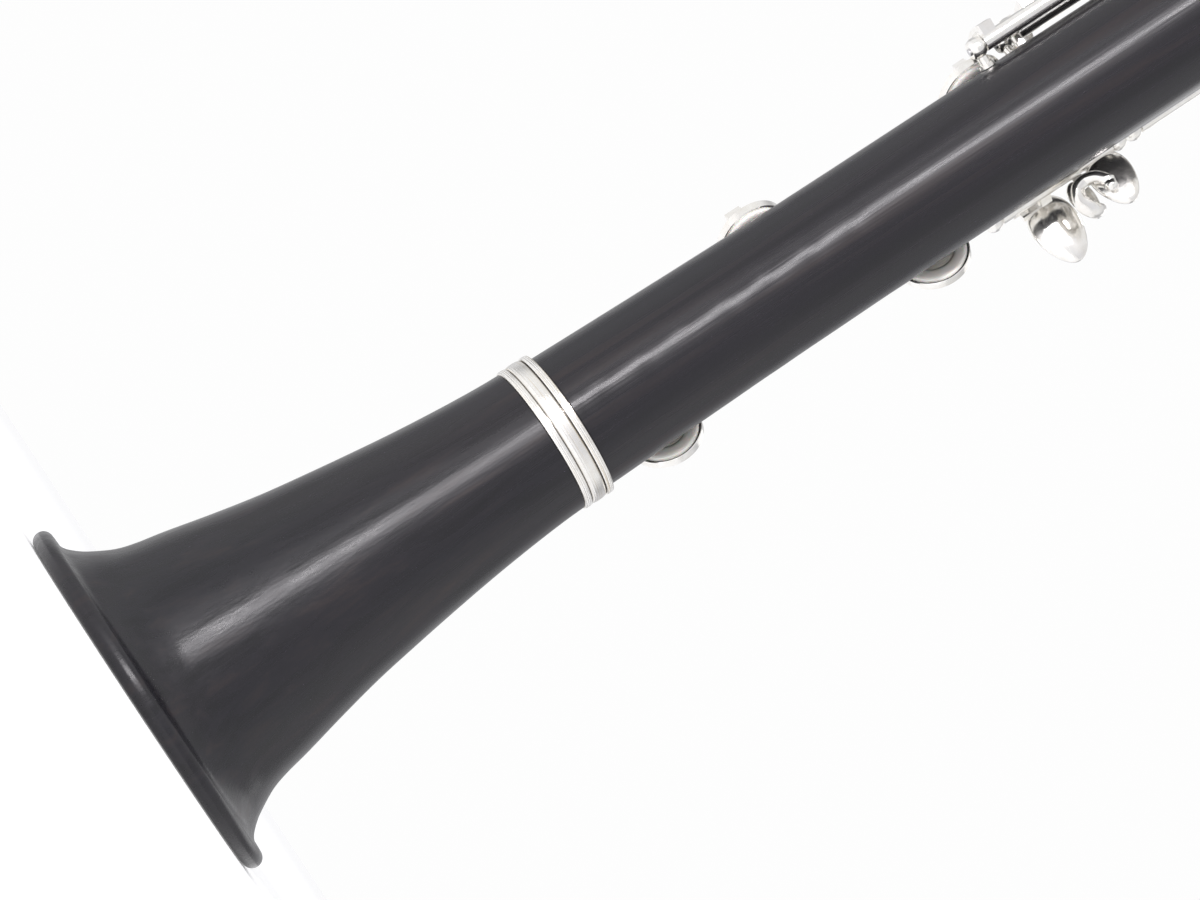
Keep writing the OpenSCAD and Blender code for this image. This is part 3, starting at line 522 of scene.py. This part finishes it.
def swept(points, radii, flat=0.75, sides=20, steps=6):
    """Round-ended bar along a smooth path; radii in mm at each point, flattened across its own plane."""
    path = [Vector(p) * MM for p in curve([list(p) for p in points], steps)]
    sizes = [r[0] for r in curve([[r] for r in radii], steps)]
    mesh = bmesh.new()
    middle = sum(path, Vector()) / len(path)
    plane = (path[0] - middle).cross(path[len(path) // 3] - middle).normalized()
    rings = []
    for k, spot in enumerate(path):
        along_path = (path[min(k + 1, len(path) - 1)] - path[max(k - 1, 0)]).normalized()
        across = along_path.cross(plane).normalized()
        lift = across.cross(along_path).normalized()
        end = min(k, len(path) - 1 - k) / 3
        size = max(0.05, sizes[k] * math.sqrt(max(0.0, 1 - max(0.0, 1 - end) ** 2))) * MM
        rings.append([
            mesh.verts.new(spot + size * (math.cos(a) * across + flat * math.sin(a) * lift))
            for a in (2 * math.pi * j / sides for j in range(sides))
        ])
    for low, high in zip(rings, rings[1:]):
        for j in range(sides):
            n = (j + 1) % sides
            mesh.faces.new((low[j], low[n], high[n], high[j]))
    mesh.faces.new(rings[0])
    mesh.faces.new(rings[-1])
    return mesh


def curled_touch():
    """Curled end of the E/B touch: a thick rounded hook that shows between the two larger leaves."""
    path = [(-23.6, -15, 224), (-23.9, -12, 223.6), (-22.6, -9.9, 221.6), (-19.8, -9.2, 220.4),
            (-17.4, -9.3, 221.4), (-16.8, -9.0, 223.6), (-17.6, -7.8, 225.8), (-19.8, -6.4, 226.9),
            (-21.6, -5.6, 226.8)]
    hook = swept(path, [1.3, 1.6, 1.9, 1.95, 1.9, 1.8, 1.75, 1.7, 1.6])
    piece("e_b_curled_touch", hook, MATERIALS["silver_keys"], "e_b_key", sharp=60)


def turned_parts():
    """The bell and the four silver bands, each over its CAD node."""
    turned_bell()
    band("bell_ring", 14.88)
    band("lower_joint_ring", 13.08)
    band("barrel_lower_ring", 14.58)
    band("barrel_upper_ring", 13.78)


def pads():
    """Pads that are nodes of their own; about() lifts the pad of a key that rests open."""
    pad("e_b_pad", "e_b_key", about(15, 9) @ outward(-48, 120, 13.75), BIG_PAD_R)
    pad("f_c_pad", "f_c_key", about(1.5, 11) @ outward(-47, 188, SEAT_R), BIG_PAD_R)
    pad("f_sharp_c_sharp_pad", "f_sharp_c_sharp_key", outward(52, 157.6, SEAT_R), BIG_PAD_R)
    pad("a_flat_e_flat_pad", "a_flat_e_flat_key", outward(54, 214, SEAT_R), BIG_PAD_R)
    pad("lower_ring_pad", "lower_ring_key", about(-46, -5) @ outward(0, 312, SEAT_R), 4.78)
    pad("register_pad", "register_key", outward(180, 512, 14.65), 3.78)
    pad("throat_a_pad", "throat_a_key", outward(0, 494, UPPER_SEAT_R), 4.58)
    pad("throat_g_sharp_pad", "throat_g_sharp_key", outward(38, 488, UPPER_SEAT_R), 3.98)
    pad("c_sharp_g_sharp_pad", "c_sharp_g_sharp_key", outward(78, 404, UPPER_SEAT_R), 4.78)


def key_pads():
    """Skins over the pads that are part of a key's node."""
    seat = SEAT_R - PROUD
    pad("sliver_pad", "b_f_sharp_sliver_key", outward(47, 280, seat), 3 + PROUD)
    pad("first_ring_pad", "upper_first_ring_key", about(-38, -5) @ outward(0, 442, seat), 4.4 + PROUD)
    pad("second_ring_pad", "upper_second_ring_key", about(-38, -5) @ outward(0, 379, seat), 4.4 + PROUD)
    pad("thumb_ring_pad", "thumb_ring_key", about(134, -6) @ outward(160, 407, seat), 4 + PROUD)
    pad("upper_sliver_pad", "e_flat_b_flat_sliver_key", outward(58, 420, seat), 4 + PROUD)
    for k, (t, z) in enumerate(((-60, 456), (-78, 469), (-96, 482), (-114, 495))):
        place = outward(t, z, UPPER_SEAT_R - PROUD)
        pad(f"side_pad_{k + 1}", f"side_key_{k + 1}", place, 3.5 + PROUD)


def touches():
    leaf_touch("e_b_touch", "e_b_key", -38, 224, 25.5, 10, 5, 12)
    leaf_touch("f_c_touch", "f_c_key", -36, 216, 25.1, 15.8, 11, 26, 0.3, 1.1)
    leaf_touch("f_sharp_c_sharp_touch", "f_sharp_c_sharp_key", -38, 230.4, 24.1, 10, 5, 12)
    leaf_touch("a_flat_e_flat_touch", "a_flat_e_flat_key", -46, 229.7, 18.7, 13.2, 9.5, 24, 0.3, 0.9)
    leaf_touch("left_e_b_touch", "left_e_b_lever", 63, 321, 22, -15, 9, -14)
    leaf_touch("left_f_c_touch", "left_f_c_lever", 95, 299, 22, -13, 9, -14)
    leaf_touch("left_f_sharp_c_sharp_touch", "left_f_sharp_c_sharp_lever", 79, 310, 22, -15, 9, -14)


# ---------- studio ----------

def studio_floor():
    bpy.ops.mesh.primitive_plane_add(size=12, location=(0, 0, -0.0002))
    floor = bpy.context.object
    floor.name = "studio_floor"
    mat, tree, shader = material("floor_white", Roughness=0.9, Specular_IOR_Level=0.1)
    shade = fractal(tree, along(tree, (6, 6, 6)), 1.0, 3.0, 0.5)
    colour = ramp(tree, shade, (0.3, (0.9, 0.9, 0.9)), (0.7, (0.93, 0.93, 0.93)))
    tree.links.new(colour, shader.inputs["Base Color"])
    shader.inputs["Emission Color"].default_value = (1, 1, 1, 1)
    shader.inputs["Emission Strength"].default_value = 0.22
    floor.data.materials.append(mat)


def area_light(name, place, aim, size, power, colour=(1, 1, 1)):
    data = bpy.data.lights.new(name, "AREA")
    data.shape = "RECTANGLE"
    data.size, data.size_y = size
    data.energy = power
    data.color = colour
    lamp = bpy.data.objects.new(name, data)
    bpy.context.collection.objects.link(lamp)
    lamp.location = place
    lamp.rotation_euler = (Vector(aim) - Vector(place)).to_track_quat("-Z", "Y").to_euler()
    lamp.visible_camera = False


def studio_world():
    """Plain white to the camera; to reflections a room that is greyer towards -Y and -X."""
    world = bpy.context.scene.world
    world.use_nodes = True
    tree = world.node_tree
    back = tree.nodes["Background"]
    spot = node(tree, "TexCoord").outputs["Generated"]
    parts = node(tree, "SeparateXYZ", Vector=spot)
    depth = ramp(tree, span(tree, parts.outputs["Y"], 0.0, 1.0, -1.0, 1.0), (0.0, (0.7, 0.7, 0.71)),
                 (0.1, (0.72, 0.72, 0.73)), (0.2, (0.5, 0.5, 0.51)), (0.3, (0.7, 0.7, 0.71)),
                 (0.38, (0.9, 0.9, 0.91)), (0.5, (1.0, 1.0, 1.0)), (0.8, (0.95, 0.95, 0.97)),
                 (1.0, (0.93, 0.93, 0.96)))
    width = ramp(tree, span(tree, parts.outputs["X"], 0.0, 1.0, -1.0, 1.0), (0.0, (0.96, 0.96, 0.96)),
                 (0.16, (0.84, 0.84, 0.85)), (0.34, (0.86, 0.86, 0.87)), (0.5, (1.0, 1.0, 1.0)),
                 (1.0, (1.0, 1.0, 1.0)))
    room = multiply(tree, depth, width)
    seen = node(tree, "LightPath").outputs["Is Camera Ray"]
    mix = node(tree, "MixRGB", Fac=seen, Color1=room, Color2=(0.985, 0.985, 0.985, 1))
    tree.links.new(mix.outputs["Color"], back.inputs["Color"])
    back.inputs["Strength"].default_value = 1.0


def studio_lights():
    """A thin bright strip for the long highlight, a faint one beside it, and a soft front fill."""
    middle = (0, 0, TOP * 0.35)
    area_light("key_strip", (0.35, 1.06, 0.3), middle, (0.04, 1.7), 13, (1.0, 0.97, 1.0))
    area_light("soft_side", (0.8, 0.88, 0.4), middle, (0.05, 1.7), 0.9)
    area_light("front_fill", (-0.9, -1.3, 1.2), middle, (1.0, 1.0), 2.5)


def photo_camera():
    """The back view of the photograph: bell near, bore running to the upper right."""
    data = bpy.data.cameras.new("camera")
    camera = bpy.data.objects.new("camera", data)
    bpy.context.collection.objects.link(camera)
    data.sensor_width = 36
    data.lens = 100.3
    data.clip_start = 0.01
    data.clip_end = 60
    target = Vector((-8, 0, 105)) * MM
    distance = 676 * MM
    lift = math.radians(8)
    lean = math.radians(33.4)
    ahead = Vector((0, -math.cos(lift), math.sin(lift)))
    bore = Vector((0, math.sin(lift), math.cos(lift)))
    side = ahead.cross(bore)
    right = math.cos(lean) * bore + math.sin(lean) * side
    up = math.sin(lean) * bore - math.cos(lean) * side
    turn = Matrix((right, up, -ahead)).transposed().to_4x4()
    camera.matrix_world = Matrix.Translation(target - ahead * distance) @ turn
    bpy.context.scene.camera = camera


photo_camera()
studio_floor()
studio_world()
studio_lights()
dress_nodes()
turned_parts()
pads()
key_pads()
touches()
curled_touch()
